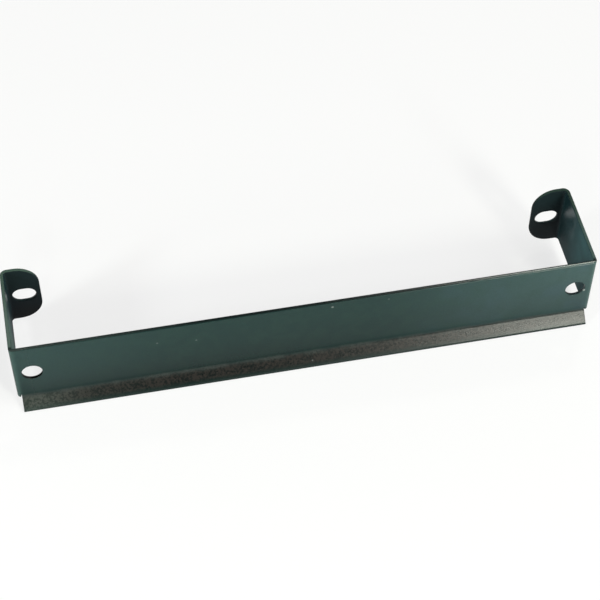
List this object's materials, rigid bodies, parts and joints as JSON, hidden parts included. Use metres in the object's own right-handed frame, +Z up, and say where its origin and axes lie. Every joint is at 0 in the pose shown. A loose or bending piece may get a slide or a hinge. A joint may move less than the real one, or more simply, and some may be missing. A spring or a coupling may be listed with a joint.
{
  "type": "rack cable management panel",
  "caption": "Folded steel panel for a narrow rack: long front face with access holes, legs bent back to slotted mounting ears, and a flared lower lip over a cable channel.",
  "frame": {"origin": "under the middle of the bounding box, level with the lip's lowest edge", "axes": "+X along the panel to its right end seen from the front, +Y to the rear where the ears face, +Z up"},
  "size_m": [0.254, 0.0492, 0.0381],
  "materials": {
    "powder_coat": "satin green-black powder coat on steel"
  },
  "bodies": {
    "root": {"folded_panel": "powder_coat"}
  },
  "joints": []
}
